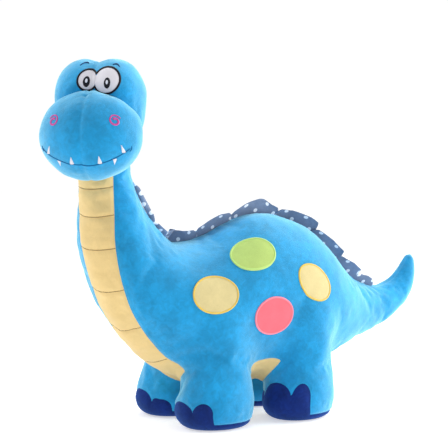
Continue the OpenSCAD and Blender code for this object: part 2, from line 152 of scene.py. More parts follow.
def trunk_point(u, phi, out=0.0):
    """Points on the trunk at row u and angle phi in radians, 0 along the back and pi along the belly."""
    u, phi = np.broadcast_arrays(np.asarray(u, float), np.asarray(phi, float))
    s, centre, back = trunk_frame(u)
    depth = np.linalg.norm(back, axis=-1)
    rel = back / depth[..., None] * ((depth + out) * np.cos(phi))[..., None]
    rel = rel + np.stack([0 * phi, (s[..., 4] + out) * np.sin(phi), 0 * phi], -1)
    twist = np.radians(s[..., 6])
    x = rel[..., 0] * np.cos(twist) - rel[..., 1] * np.sin(twist)
    y = rel[..., 0] * np.sin(twist) + rel[..., 1] * np.cos(twist)
    return centre + np.stack([x, y, rel[..., 2]], -1)


def leg_row(z):
    return np.stack([np.interp(z, LEG[:, 0], LEG[:, k]) for k in (1, 2, 3)], -1)


def leg_local(points, name):
    """Points in a leg's own frame, with its toe at -X."""
    x, side = LEGS[name]
    turn = side * REAR_TOE_OUT if x > 0 else 0.0
    px, py = points[:, 0] - x, points[:, 1] - side * LEG_Y
    c, s = math.cos(turn), math.sin(turn)
    return np.stack([px * c - py * s, px * s + py * c, points[:, 2]], -1)


def leg_world(points, name):
    x, side = LEGS[name]
    turn = -side * REAR_TOE_OUT if x > 0 else 0.0
    c, s = math.cos(turn), math.sin(turn)
    px, py = points[:, 0], points[:, 1]
    return np.stack([x + px * c - py * s, side * LEG_Y + px * s + py * c, points[:, 2]], -1)


def tube(index):
    """Quads between the rings of a table of vertex numbers, one ring to a row."""
    a, b = index[:-1], index[1:]
    return np.stack([a, np.roll(a, -1, 1), np.roll(b, -1, 1), b], -1).reshape(-1, 4)


def loft(rings, cap_start, cap_end):
    """Closed quad-and-triangle mesh through rings (rows, columns, 3) with a point at each end."""
    rows, cols = rings.shape[:2]
    index = np.arange(rows * cols).reshape(rows, cols)
    points = np.concatenate([rings.reshape(-1, 3), [cap_start, cap_end]])
    n = rows * cols
    first, last = index[0], index[-1]
    tris = np.concatenate([
        np.stack([np.full(cols, n), np.roll(first, -1), first], -1),
        np.stack([np.full(cols, n + 1), last, np.roll(last, -1)], -1),
    ])
    return points, tube(index), tris


# ---------------------------------------------------------------- smooth unions on a distance grid
# cell size in millimetres, cells on each side of the surface, the grid's low corner and its cell counts
VOXEL = 3.0
BAND = 16
LOW = np.array([-350.0, -130.0, -20.0])
SHAPE = (234, 87, 184)


def distance_grid(points, quads, tris):
    quads = quads.astype(np.uint32)
    tris = tris.astype(np.uint32)
    grid = openvdb.FloatGrid.createLevelSetFromPolygons(
        ((points - LOW) / VOXEL).astype(np.float32), tris, quads,
        openvdb.createLinearTransform(1.0), BAND)
    field = np.empty(SHAPE, np.float32)
    grid.copyToArray(field, (0, 0, 0))
    return field * VOXEL


def smooth_min(a, b, k):
    h = np.clip(k - np.abs(a - b), 0, None) / k
    return np.minimum(a, b) - h * h * k * 0.25


def surface(field, every=1):
    """The skin where a distance grid is zero, from one in so many of its cells each way."""
    grid = openvdb.FloatGrid(BAND * VOXEL)
    grid.copyFromArray(np.ascontiguousarray(field[::every, ::every, ::every], np.float32), (0, 0, 0), 1e-4)
    points, quads = grid.convertToQuads(0.0)
    return Mesh(points.astype(float) * every * VOXEL + LOW, quads.astype(int)[:, ::-1])


def sample(field, points):
    """Trilinear value of a distance grid at points."""
    g = (points - LOW) / VOXEL
    i = np.clip(np.floor(g).astype(int), 0, np.array(SHAPE) - 2)
    t = g - i
    out = 0.0
    for dx in (0, 1):
        for dy in (0, 1):
            for dz in (0, 1):
                w = ((t[:, 0] if dx else 1 - t[:, 0]) * (t[:, 1] if dy else 1 - t[:, 1])
                     * (t[:, 2] if dz else 1 - t[:, 2]))
                out = out + w * field[i[:, 0] + dx, i[:, 1] + dy, i[:, 2] + dz]
    return out


def gradient(field, points, step=1.5):
    """The unit direction in which a distance grid grows at points."""
    g = np.stack([sample(field, points + d) - sample(field, points - d) for d in np.eye(3) * step], -1)
    return g / np.maximum(np.linalg.norm(g, axis=1, keepdims=True), 1e-9)


# ---------------------------------------------------------------- meshes as arrays, cut along lines
class Mesh:
    """Vertices, faces as tuples, and named numbers for each vertex that cuts carry along."""

    def __init__(self, points, faces, values=None):
        self.points = np.asarray(points, float)
        self.faces = [tuple(int(i) for i in f) for f in faces]
        self.values = dict(values or {})

    def cut(self, key):
        """Adds vertices and edges where the named number crosses zero."""
        field = self.values[key] = np.where(np.abs(self.values[key]) < 1e-6, 1e-6, self.values[key])
        n = len(self.points)
        new, ends, faces = {}, [], []
        sign = (field > 0).tolist()
        for f in self.faces:
            s = [sign[i] for i in f]
            if all(s) or not any(s):
                faces.append(f)
                continue
            parts = {True: [], False: []}
            for k, i in enumerate(f):
                j = f[(k + 1) % len(f)]
                parts[s[k]].append(i)
                if sign[i] != sign[j]:
                    pair = (min(i, j), max(i, j))
                    if pair not in new:
                        new[pair] = n + len(ends)
                        ends.append(pair)
                    parts[True].append(new[pair])
                    parts[False].append(new[pair])
            faces += [tuple(p) for p in parts.values() if len(p) > 2]
        self.faces = faces
        if not ends:
            return
        a, b = np.array(ends).T
        t = np.clip(field[a] / (field[a] - field[b]), 0.02, 0.98)

        def mix(v):
            w = t.reshape(-1, *[1] * (v.ndim - 1))
            return np.concatenate([v, v[a] * (1 - w) + v[b] * w])

        self.points = mix(self.points)
        self.values = {k: mix(v) for k, v in self.values.items()}
        self.values[key][n:] = 0.0

    def face_mean(self, value):
        return np.array([np.mean([value[i] for i in f]) for f in self.faces])

    def normals(self):
        fans = np.array([(f[0], f[k], f[k + 1]) for f in self.faces for k in range(1, len(f) - 1)])
        p = self.points[fans]
        face = np.cross(p[:, 1] - p[:, 0], p[:, 2] - p[:, 0])
        total = np.zeros_like(self.points)
        for k in range(3):
            np.add.at(total, fans[:, k], face)
        return unit(total)

    def volume(self):
        p = self.points
        return sum(float(np.dot(p[f[0]], np.cross(p[f[k]], p[f[k + 1]]))) for f in self.faces
                   for k in range(1, len(f) - 1)) / 6

    def face_outwards(self):
        if self.volume() < 0:
            self.faces = [f[::-1] for f in self.faces]

    def part(self, keep):
        """The faces where keep is true, with their own vertices."""
        faces = [f for f, k in zip(self.faces, keep) if k]
        used = sorted({i for f in faces for i in f})
        at = {i: k for k, i in enumerate(used)}
        return Mesh(self.points[used], [tuple(at[i] for i in f) for f in faces],
                    {k: v[used] for k, v in self.values.items()})

    def shell(self, inner):
        """A closed solid between this surface and the points inner."""
        n = len(self.points)
        edges = {(i, j) for f in self.faces for i, j in zip(f, f[1:] + f[:1])}
        rim = [(i, j) for i, j in edges if (j, i) not in edges]
        faces = self.faces + [tuple(n + i for i in reversed(f)) for f in self.faces]
        faces += [(j, i, n + i, n + j) for i, j in sorted(rim)]
        values = {k: np.concatenate([v, v]) for k, v in self.values.items()}
        return Mesh(np.concatenate([self.points, inner]), faces, values)


def smooth_mesh(mesh, amount, rounds):
    """Laplacian smoothing with a weight for each vertex."""
    edges = {(min(i, j), max(i, j)) for f in mesh.faces for i, j in zip(f, f[1:] + f[:1])}
    e = np.array(sorted(edges))
    degree = np.zeros(len(mesh.points))
    np.add.at(degree, e[:, 0], 1)
    np.add.at(degree, e[:, 1], 1)
    w = np.broadcast_to(amount, len(mesh.points))[:, None]
    for _ in range(rounds):
        total = np.zeros_like(mesh.points)
        np.add.at(total, e[:, 0], mesh.points[e[:, 1]])
        np.add.at(total, e[:, 1], mesh.points[e[:, 0]])
        mesh.points = mesh.points + w * (total / np.maximum(degree, 1)[:, None] - mesh.points)


def to_object(name, mesh, material, normals=None):
    data = bpy.data.meshes.new(name)
    data.from_pydata((mesh.points * MM).tolist(), [], mesh.faces)
    data.materials.append(material)
    data.shade_smooth()
    if normals is not None:
        data.normals_split_custom_set_from_vertices(normals.tolist())
    if "tone" in mesh.values:
        attribute = data.attributes.new("tone", "FLOAT", "POINT")
        attribute.data.foreach_set("value", mesh.values["tone"].astype(np.float32))
    obj = bpy.data.objects.new(name, data)
    bpy.context.scene.collection.objects.link(obj)
    return obj


# ---------------------------------------------------------------- plain helpers
def unit(v):
    return v / np.maximum(np.linalg.norm(v, axis=-1, keepdims=True), 1e-12)


def spin(points, degrees):
    """Points turned about the vertical axis."""
    c, s = math.cos(math.radians(degrees)), math.sin(math.radians(degrees))
    x, y = points[..., 0], points[..., 1]
    return np.stack([x * c - y * s, x * s + y * c, points[..., 2]], -1)


def bump(d, width):
    """A bell of height 1 at distance 0."""
    return np.exp(-((d / width) ** 2))


def across(n):
    """Places from -1 to 1 across a line of stitches, as a row, and its rounded section's height there."""
    w = np.linspace(-1, 1, n)[None, :]
    return w, np.sqrt(np.clip(1 - w**2, 0, 1))


def point_tree(points):
    tree = KDTree(len(points))
    for i, p in enumerate(points):
        tree.insert(p, i)
    tree.balance()
    return tree


def to_segment(points, a, b):
    """Distance of points from the segment a-b, and how far along it they are from 0 to 1."""
    a, b = np.array(a, float), np.array(b, float)
    t = np.clip((points - a) @ (b - a) / ((b - a) @ (b - a)), 0, 1)
    return np.linalg.norm(points - a - t[:, None] * (b - a), axis=1), t


def lumps(points, size, seed):
    """Smooth unevenness, mostly from -1 to 1, with bumps of about that size."""
    rng = np.random.default_rng(seed)
    total = np.zeros(len(points))
    for _ in range(9):
        wave = unit(rng.normal(size=3)) * 2 * math.pi / (size * rng.uniform(0.75, 1.4))
        total += np.sin(points @ wave + rng.uniform(0, 6.3))
    return total / 3.2


# ---------------------------------------------------------------- materials
def add_node(tree, kind, **values):
    """A new shader node with the named inputs set. An underscore stands for a space."""
    node = tree.nodes.new(kind)
    for key, value in values.items():
        node.inputs[key.replace("_", " ")].default_value = value
    return node


def noise(tree, place, scale, detail, **values):
    """The output of a noise texture on the object's own coordinates."""
    node = add_node(tree, "ShaderNodeTexNoise", Scale=scale, Detail=detail, **values)
    tree.links.new(place.outputs["Object"], node.inputs["Vector"])
    return node.outputs["Fac"]


def remap(tree, value, low, high, to_low, to_high):
    """The value's span from low to high moved to the span from to_low to to_high."""
    node = add_node(tree, "ShaderNodeMapRange", From_Min=low, From_Max=high, To_Min=to_low, To_Max=to_high)
    tree.links.new(value, node.inputs["Value"])
    return node.outputs["Result"]


def mottled(tree, place, colour, amount, size):
    """The colour made lighter and darker in brushed clouds of about that size in millimetres."""
    cloud = noise(tree, place, 1000 / size, 7, Roughness=0.62)
    brushed = noise(tree, place, 6000 / size, 4, Distortion=1.2)
    both = tree.nodes.new("ShaderNodeMath")
    both.operation = "MULTIPLY"
    for k, (source, share) in enumerate(((cloud, amount), (brushed, amount * 0.6))):
        tree.links.new(remap(tree, source, 0.3, 0.7, 1 - share, 1 + share), both.inputs[k])
    mix = tree.nodes.new("ShaderNodeVectorMath")
    mix.operation = "SCALE"
    mix.inputs[0].default_value = colour
    tree.links.new(both.outputs["Value"], mix.inputs["Scale"])
    return mix.outputs["Vector"]


def dotted(tree, ground, dots):
    """The ground colour with dots where the attribute tone, the distance to a dot's middle, is small."""
    tone = tree.nodes.new("ShaderNodeAttribute")
    tone.attribute_name = "tone"
    pick = tree.nodes.new("ShaderNodeMix")
    pick.data_type = "RGBA"
    tree.links.new(ground, pick.inputs[6])
    pick.inputs[7].default_value = (*dots, 1)
    tree.links.new(remap(tree, tone.outputs["Fac"], DOT_R - 0.3, DOT_R + 0.3, 1.0, 0.0), pick.inputs[0])
    return pick.outputs[2]


def material(name, colour, rough=0.9, sheen=0.0, sheen_tint=None, bump_size=0.0, bump_scale=900.0, mottle=0.0,
             mottle_size=50, dots=None):
    m = bpy.data.materials.new(name)
    m.use_nodes = True
    tree = m.node_tree
    shader = tree.nodes["Principled BSDF"]
    shader.inputs["Base Color"].default_value = (*colour, 1)
    shader.inputs["Roughness"].default_value = rough
    shader.inputs["Specular IOR Level"].default_value = 0.15
    shader.inputs["Sheen Weight"].default_value = sheen
    shader.inputs["Sheen Roughness"].default_value = 0.5
    shader.inputs["Sheen Tint"].default_value = (*(sheen_tint or colour), 1)
    place = tree.nodes.new("ShaderNodeTexCoord")
    if mottle:
        look = mottled(tree, place, colour, mottle, mottle_size)
        if dots:
            look = dotted(tree, look, dots)
        tree.links.new(look, shader.inputs["Base Color"])
    if bump_size:
        relief = add_node(tree, "ShaderNodeBump", Distance=bump_size * MM, Strength=0.6)
        tree.links.new(noise(tree, place, bump_scale, 3), relief.inputs["Height"])
        tree.links.new(relief.outputs["Normal"], shader.inputs["Normal"])
    return m


def srgb(*channels):
    """The linear colour of display values from 0 to 255."""
    shares = [c / 255 for c in channels]
    return tuple(c / 12.92 if c <= 0.04045 else ((c + 0.055) / 1.055) ** 2.4 for c in shares)


def velvet(name, colour, rough, sheen, tint, pile, mottle, size=50):
    return material(name, srgb(*colour), rough, sheen, srgb(*tint), pile, mottle=mottle, mottle_size=size)


def patch_cloth(name, colour, tint):
    return velvet(name, colour, 0.9, 0.2, tint, 0.4, 0.05, 16)


def edge_thread(name, colour):
    return material(name, srgb(*colour), 0.5, 0.1, bump_size=0.1)


def thread_look(name, colour, rough=0.5):
    return material(name, srgb(*colour), rough)


DOT_R = 2.9
BLUE = velvet("blue_velvet", (20, 142, 198), 0.9, 1.0, (184, 241, 253), 0.6, 0.2, 45)
CREAM = velvet("cream_velvet", (222, 194, 134), 0.9, 0.35, (255, 240, 215), 0.5, 0.05)
NAVY = velvet("navy_velvet", (14, 38, 106), 0.85, 0.5, (90, 150, 240), 0.5, 0.35)
CREAM_PATCH = patch_cloth("cream_patch", (212, 196, 142), (255, 250, 220))
GREEN_PATCH = patch_cloth("green_patch", (182, 207, 118), (225, 245, 170))
PINK_PATCH = patch_cloth("pink_patch", (230, 108, 120), (255, 190, 200))
GOLD_EDGE = edge_thread("gold_thread", (222, 190, 92))
GREEN_EDGE = edge_thread("green_thread", (190, 222, 128))
PINK_EDGE = edge_thread("pink_thread", (252, 140, 156))
FRILL = material("dotted_cotton", srgb(120, 136, 162), 0.9, 0.3, srgb(220, 225, 235), bump_size=0.15,
                 bump_scale=1600, mottle=0.12, mottle_size=25, dots=srgb(240, 244, 250))
BLACK = thread_look("black_thread", (22, 24, 34))
DARK_BLUE = thread_look("dark_blue_thread", (26, 56, 104))
WHITE = thread_look("white_thread", (214, 212, 220))
PALE = thread_look("pale_thread", (214, 218, 230))
ROSE = thread_look("rose_thread", (196, 78, 150))
MOUTH_BLUE = thread_look("mouth_thread", (24, 104, 156))
TAN = thread_look("tan_thread", (150, 126, 82), 0.6)

# ---------------------------------------------------------------- body skin
SEAM_DEPTH = 1.5
CLOTH = 1.2
# trunk rows of the stitched lines across the pale strip, and how far their middles bow along it, in rows
STITCH_ROWS = (1.18, 2.0, 3.0, 4.25, 5.5, 6.7)
STITCH_BOW = 0.12
# half angle of the whole toe cap and of its middle lobe, the cap's height, and the band above the sole
TOE_HALF, NOTCH = math.radians(62), math.radians(30)
TOE_H = {"front": 40.0, "rear": 55.0}
SOLE_BAND = 9.5
SOLE_T = 2.5
# how softly the legs run into the trunk
LEG_FILLET = 20.0
# the stuffing's cloth: its slack, its frames, and how far it may move body and head
SLACK, CLOTH_FRAMES = 0.02, 20
BODY_CAP, HEAD_CAP = 3.5, 2.5


def trunk_mesh():
    u = np.linspace(0, LAST, 191)[:, None]
    phi = np.linspace(0, 2 * math.pi, 96, endpoint=False)[None, :]
    rings = trunk_point(u, phi)
    ends = [rings[0].mean(0), rings[-1].mean(0) + np.array([2.0, 0, 6.0])]
    return loft(rings, *ends)


def leg_mesh(name):
    a = np.linspace(0, 2 * math.pi, 72, endpoint=False)
    z = np.concatenate([[0, 1, 2.5, 4], np.linspace(6, 150, 49)])
    rows = leg_row(z)
    top = np.array([[158, 36, 32], [166, 27, 24], [171, 14, 12]], float)
    rings = []
    for zz, (s1, s2, s3) in zip(z, rows):
        rings.append(np.stack([-s3 - s1 * np.cos(a), -s2 * np.sin(a), np.full(len(a), zz)], -1))
    for zz, s1, s2 in top:
        rings.append(np.stack([-s1 * np.cos(a), -s2 * np.sin(a), np.full(len(a), zz)], -1))
    rings = np.array(rings)[:, ::-1]
    flat = leg_world(rings.reshape(-1, 3), name).reshape(rings.shape)
    return loft(flat, flat[0].mean(0), flat[-1].mean(0) + np.array([0, 0, 2.0]))


trunk_field = distance_grid(*trunk_mesh())
leg_fields = {name: distance_grid(*leg_mesh(name)) for name in LEGS}
legs_field = np.minimum.reduce(list(leg_fields.values()))
body_field = smooth_min(trunk_field, legs_field, LEG_FILLET)


def skin_of(field):
    """The skin of a distance grid, smoothed and then drawn back to where the grid is zero."""
    mesh = surface(field)
    smooth_mesh(mesh, 0.5, 3)
    for _ in range(2):
        miss = np.clip(sample(field, mesh.points), -1.5, 1.5)[:, None]
        mesh.points = mesh.points - 0.8 * miss * gradient(field, mesh.points)
    mesh.face_outwards()
    return mesh


def trunk_coordinates(points):
    """The row u, the angle phi from -pi to pi, and the height over the trunk for each point."""
    us, phis = np.meshgrid(np.linspace(0, LAST, 153), np.radians(np.arange(-180, 180, 3)), indexing="ij")
    tree = point_tree(trunk_point(us, phis).reshape(-1, 3))
    near = np.array([tree.find(p)[1] for p in points])
    u, phi, out = us.ravel()[near].copy(), phis.ravel()[near].copy(), np.zeros(len(points))
    for _ in range(4):
        base = trunk_point(u, phi, out)
        later, sooner = np.clip(u + 0.02, 0, LAST), np.clip(u - 0.02, 0, LAST)
        du = (trunk_point(later, phi, out) - trunk_point(sooner, phi, out)) / (later - sooner)[:, None]
        dp = (trunk_point(u, phi + 0.01, out) - trunk_point(u, phi - 0.01, out)) / 0.02
        do = trunk_point(u, phi, out + 1) - base
        jac = np.stack([du, dp, do], -1) + np.eye(3) * 1e-6
        step = np.linalg.solve(jac, (points - base)[..., None])[..., 0]
        u = np.clip(u + np.clip(step[:, 0], -0.3, 0.3), 0, LAST)
        phi = phi + np.clip(step[:, 1], -0.3, 0.3)
        out = out + np.clip(step[:, 2], -10, 10)
    return u, (phi + math.pi) % (2 * math.pi) - math.pi, out


def ridge_phi(u):
    """The angle at which the back seam and the frill run: left of the top on the turned neck."""
    return np.radians(np.interp(u, [0, 2.6, 3.3, 3.8, 4.4, 5.2, 10, 12, 13.5, 16],
                                [-48, -46, -30, -8, 5, 0, 0, -12, -14, -8]))


def trunk_normal(u, phi):
    """The trunk's outward direction at row u and angle phi."""
    per_row = trunk_point(u + 0.05, phi) - trunk_point(u - 0.05, phi)
    out = unit(np.cross(per_row, trunk_point(u, phi + 0.02) - trunk_point(u, phi - 0.02)))
    centre = trunk_frame(u)[1]
    return out * np.sign(((trunk_point(u, phi) - centre) * out).sum(-1, keepdims=True))


def toe_field(points, name):
    """Below zero on the toe cap and the band over the sole, in millimetres."""
    local = leg_local(points, name)
    row = leg_row(np.clip(local[:, 2], 0, 150))
    a = np.arctan2(-local[:, 1] / row[:, 1], -(local[:, 0] + row[:, 2]) / row[:, 0])
    z, around = local[:, 2], 52.0
    # the toe that faces the other legs is the lowest
    inward = np.clip((a * LEGS[name][1] - 0.6 * NOTCH) / 0.5, 0, 1)
    h = TOE_H[name.split("_")[0]] * (1 - 0.3 * inward**2 * (3 - 2 * inward))
    step, rise = 0.62 * h, 0.38 * h
    field = np.maximum((np.abs(a) - TOE_HALF) * around, z - step)
    for mid, half in ((0.0, NOTCH), ((TOE_HALF + NOTCH) / 2, (TOE_HALF - NOTCH) / 2)):
        e = np.hypot((np.abs(a) - mid) / half, (z - step) / rise)
        field = np.minimum(field, (e - 1) * np.minimum(half * around, rise))
    return np.minimum(field, z - SOLE_BAND)


body = skin_of(body_field)


def seam_marks(points):
    """Trunk row and angle of points on the body's skin, and their distances to its seams in millimetres."""
    u, phi, _ = trunk_coordinates(points)
    row = between(TRUNK, u)
    half_depth = np.hypot(row[:, 0] - row[:, 2], row[:, 1] - row[:, 3]) / 2
    per_radian = np.sqrt((row[:, 4] * np.cos(phi)) ** 2 + (half_depth * np.sin(phi)) ** 2)
    leg = sample(trunk_field, points) - np.minimum.reduce([sample(f, points) for f in leg_fields.values()])
    from_belly = math.pi - np.abs(phi)
    strip = (from_belly - np.arcsin(np.clip(row[:, 5] / row[:, 4], 0, 0.99))) * per_radian
    strip = np.maximum.reduce([strip, (u - STRIP_END) * 24, leg - 3])
    side = np.sin(phi - ridge_phi(u)) * np.maximum(row[:, 4], 10)
    side = np.where((points[:, 2] < 90) & (np.abs(points[:, 0]) > 20), points[:, 1], side)
    toe = np.full(len(points), FAR)
    for name, (x, way) in LEGS.items():
        mine = (points[:, 1] * way > 0) & (points[:, 0] * x > 0) & (points[:, 2] < 75)
        fillet = sample(leg_fields[name], points[mine])
        toe[mine] = np.maximum(toe_field(points[mine], name), 3 * (fillet - 3))
    ridge = np.abs(phi - ridge_phi(u)) * per_radian
    ridge = np.where(np.abs(phi - ridge_phi(u)) < 1.2, ridge, FAR)
    under = np.where((u > STRIP_END) & (np.abs(phi) > 2.2), from_belly * per_radian, FAR)
    seam = np.minimum.reduce([np.where(u < STRIP_END + 0.1, np.abs(strip), FAR), ridge, under])
    return {"u": u, "phi": phi, "strip": strip, "side": side, "toe": toe, "seam": seam}


def stuffed(field, seam_distance, cap):
    """Presses a coarse copy of a skin out from inside, as stuffing does, with its seams held.

    Gives the coarse points and how far each moved along its normal, less the skin's usual swelling.
    """
    coarse = surface(field, 2)
    coarse.face_outwards()
    smooth_mesh(coarse, 0.5, 2)
    out = coarse.normals()
    obj = to_object("stuffing_trial", coarse, NAVY)
    held = np.clip(1.3 - seam_distance(coarse.points) / 6.0, 0, 1)
    group = obj.vertex_groups.new(name="held")
    for i in np.nonzero(held > 0.01)[0]:
        group.add([int(i)], float(held[i]), "REPLACE")
    cloth = obj.modifiers.new("cloth", "CLOTH")
    cloth.settings.quality = 5
    cloth.settings.mass = 0.3
    cloth.settings.tension_stiffness = cloth.settings.compression_stiffness = 12
    cloth.settings.shear_stiffness = 6
    cloth.settings.bending_stiffness = 0.4
    cloth.settings.shrink_min = -SLACK
    cloth.settings.use_pressure = True
    cloth.settings.uniform_pressure_force = 4
    cloth.settings.vertex_group_mass = "held"
    cloth.settings.effector_weights.gravity = 0
    cloth.point_cache.frame_end = CLOTH_FRAMES
    scene = bpy.context.scene
    for step in range(1, CLOTH_FRAMES + 1):
        scene.frame_set(step)
    shaped = obj.evaluated_get(bpy.context.evaluated_depsgraph_get()).to_mesh()
    moved = np.empty(len(coarse.points) * 3)
    shaped.vertices.foreach_get("co", moved)
    scene.frame_set(1)
    bpy.data.objects.remove(obj)
    shift = ((moved.reshape(-1, 3) / MM - coarse.points) * out).sum(1)
    shift = np.clip(shift, -cap, 2 * cap)
    shift = np.clip(shift - np.median(shift[held < 0.01]), -cap, cap)
    return coarse.points, shift


def carried_over(points, source, shift):
    """The coarse skin's movement at the fine skin's points."""
    tree = point_tree(source)
    total = np.empty(len(points))
    for i, p in enumerate(points):
        near = tree.find_n(p, 6)
        w = np.array([1 / (d + 1.0) ** 2 for _, _, d in near])
        total[i] = (w * shift[[k for _, k, _ in near]]).sum() / w.sum()
    return total


def held_lines(points):
    """How far points are from what holds the body's skin: a seam, a toe cap's edge or the floor."""
    marks = seam_marks(points)
    return np.minimum.reduce([marks["seam"], np.abs(marks["toe"]), np.where(points[:, 2] < 12, 0, FAR)])


body.values.update(seam_marks(body.points))
u_row, phi = body.values["u"], body.values["phi"]
normal = body.normals()
# the skin keeps its plain shape on the soles and inside the head
height = body.points[:, 2]
plain_fade = np.clip((height - 4) / 20, 0, 1) * np.clip((396 - height) / 30, 0, 1)
push = np.zeros(len(body.points))
push += carried_over(body.points, *stuffed(body_field, held_lines, BODY_CAP)) * plain_fade

# relief: lumps of stuffing, seams pulled in, stitched rows across the pale strip, creases
push += (0.6 * lumps(body.points, 52, 3) + 0.15 * lumps(body.points, 21, 4)) * plain_fade
push -= np.maximum(SEAM_DEPTH * bump(body.values["seam"], 2.2), 1.3 * bump(body.values["toe"], 1.8))
inside_strip = np.clip(-body.values["strip"] / 6, 0, 1)
for row in STITCH_ROWS:
    gap = np.linalg.norm(trunk_point(row, math.pi) - trunk_point(row + 0.1, math.pi)) / 0.1
    bow = STITCH_BOW * np.cos((math.pi - np.abs(phi)) * 1.2)
    push -= inside_strip * 2.0 * bump((u_row - row - bow) * gap, 2.6)
# ends of each crease on the left side, its depth and its width
CREASES = (
    ((-150, -44, 282), (-112, -62, 236), 1.8, 5),
    ((-138, -42, 270), (-92, -72, 226), 1.6, 5),
    ((-122, -40, 262), (-70, -78, 222), 1.2, 5),
    ((-158, -40, 300), (-150, -50, 250), 1.4, 5),
    ((-178, -36, 322), (-168, -48, 278), 0.9, 5),
    ((150, -62, 196), (168, -44, 122), 1.0, 5),
    ((166, -48, 196), (176, -46, 140), 0.9, 4),
    ((204, -36, 172), (210, -34, 128), 0.8, 4),
    ((262, -20, 176), (282, -16, 150), 1.0, 4),
    ((-92, -88, 150), (-40, -96, 140), 0.9, 6),
    ((40, -98, 128), (94, -92, 128), 0.8, 6),
)
for a, b, depth, width in CREASES:
    for way in (1, -1):
        d, t = to_segment(body.points, (a[0], a[1] * way, a[2]), (b[0], b[1] * way, b[2]))
        fade = np.sin(math.pi * np.clip(0.08 + 0.84 * t, 0, 1))
        push += depth * fade * (0.5 * bump(d - 1.3 * width, width * 0.8) - bump(d, width * 0.7))
body.points = body.points + push[:, None] * normal
body.points[:, 2] = np.maximum(body.points[:, 2], 0.0)
body.values["normal"] = body.normals()

# each bending joint's place, and the way the stuffed part runs there
TIP_PIVOT, TIP_WAY = PIVOTS["tail_curl"], np.array([0.788, 0, 0.616])


def bend(obj):
    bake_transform(obj)


def cloth_piece(name, mesh, look, replaced):
    """A closed piece of fabric made of a part of a skin, shaded as the whole skin was."""
    out = mesh.values["normal"]
    solid = mesh.shell(mesh.points - out * CLOTH)
    obj = to_object(name, solid, look, np.concatenate([out, -out]))
    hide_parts(*replaced)
    return obj


for key in ("toe", "strip", "side"):
    body.cut(key)
body.values["middle"] = body.points[:, 0].copy()
body.values["tip"] = (body.points - TIP_PIVOT) @ TIP_WAY + 15
body.values["tip"] = np.where(body.points[:, 0] < 190, -5.0, body.values["tip"])
body.values["sole"] = body.points[:, 2] - SOLE_T
for key in ("middle", "tip", "sole"):
    body.cut(key)
body.values["normal"] = unit(body.values["normal"])

f_toe, f_strip, f_side, f_mid, f_tip, f_sole = (
    body.face_mean(body.values[key]) for key in ("toe", "strip", "side", "middle", "tip", "sole"))
centre = np.stack([body.face_mean(body.points[:, k]) for k in range(3)], -1)
navy = f_toe < 0
cream = ~navy & (f_strip < 0)
blue = ~navy & ~cream
bend(cloth_piece("belly_and_throat_strip", body.part(cream), CREAM,
                 ["belly_strip", "throat_strip", "torso_stuffing", "neck_stuffing"]))
for way, hand in ((-1, "left"), (1, "right")):
    own = blue & (f_side * way > 0)
    for name, keep, which, nodes in (
        (f"body_panel_front_{hand}", f_mid < 0, "neck", [
            f"side_panel_{hand}", f"neck_panel_{hand}", f"leg_front_{hand}", f"leg_stuffing_front_{hand}"]),
        (f"body_panel_rear_{hand}", (f_mid > 0) & (f_tip < 0), "tail", [
            f"side_panel_{hand}", f"tail_panel_{hand}", "tail_stuffing", f"leg_rear_{hand}",
            f"leg_stuffing_rear_{hand}"]),
        (f"tail_end_{hand}", f_tip > 0, "tip", [
            f"tail_panel_{hand}", f"tail_tip_{hand}", "tail_tip_stuffing"]),
    ):
        bend(cloth_piece(name, body.part(own & keep), BLUE, nodes))
    for end, lengthwise in (("front", -1), ("rear", 1)):
        foot = navy & (centre[:, 0] * lengthwise > 0) & (centre[:, 1] * way > 0)
        for label, keep in (("toe_cap", f_sole > 0), ("sole", f_sole < 0)):
            node = f"{label}_{end}_{hand}"
            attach(cloth_piece(f"{node}_cover", body.part(foot & keep), NAVY, [node]), "torso")

# ---------------------------------------------------------------- head
# the crown is two egg shapes side by side: [x, y, up, down] radii; the socket is the hole for the neck
HEAD_X, HEAD_TURN = -214.0, 48.0
CROWN_X, CROWN_Z, BROW_HALF = -10.0, 452.0, 20.0
CROWN_R = (52.0, 40.0, 48.0, 90.0)
BROW_FILLET = 11.0
MUZZLE_C, MUZZLE_R = np.array([-57.0, 0, 399]), np.array([58.0, 68.0, 59.3])
SOCKET_R, SOCKET_Z = 37.5, 388.0
SEAM_END = np.array([-82.4, 0, 452.5])


def head_world(points):
    """Points of the head's own frame, face at -X, in the frame of the CAD model."""
    return spin(points, HEAD_TURN) + np.array([HEAD_X, 0, 0])


def egg_mesh(centre, r_x, r_y, r_up, r_down):
    """An ellipsoid whose upper and lower halves differ in height."""
    b = np.radians(np.linspace(-88, 88, 67))[:, None]
    a = np.linspace(0, 2 * math.pi, 96, endpoint=False)[None, :]
    high = np.where(b > 0, r_up, r_down)
    level = np.cos(b)
    rings = np.stack([r_x * level * np.cos(a), r_y * level * np.sin(a), high * np.sin(b) + 0 * a], -1)
    low, top = centre - np.array([0, 0, r_down]), centre + np.array([0, 0, r_up])
    return loft(rings + centre, low, top)


brows = [distance_grid(*egg_mesh(np.array([CROWN_X, way * BROW_HALF, CROWN_Z]), *CROWN_R)) for way in (-1, 1)]
crown_field = smooth_min(*brows, BROW_FILLET)
muzzle_field = distance_grid(*egg_mesh(MUZZLE_C, *MUZZLE_R, MUZZLE_R[2]))
crown, muzzle = skin_of(crown_field), skin_of(muzzle_field)


def tree_of(mesh):
    return BVHTree.FromPolygons([tuple(p) for p in mesh.points], mesh.faces)


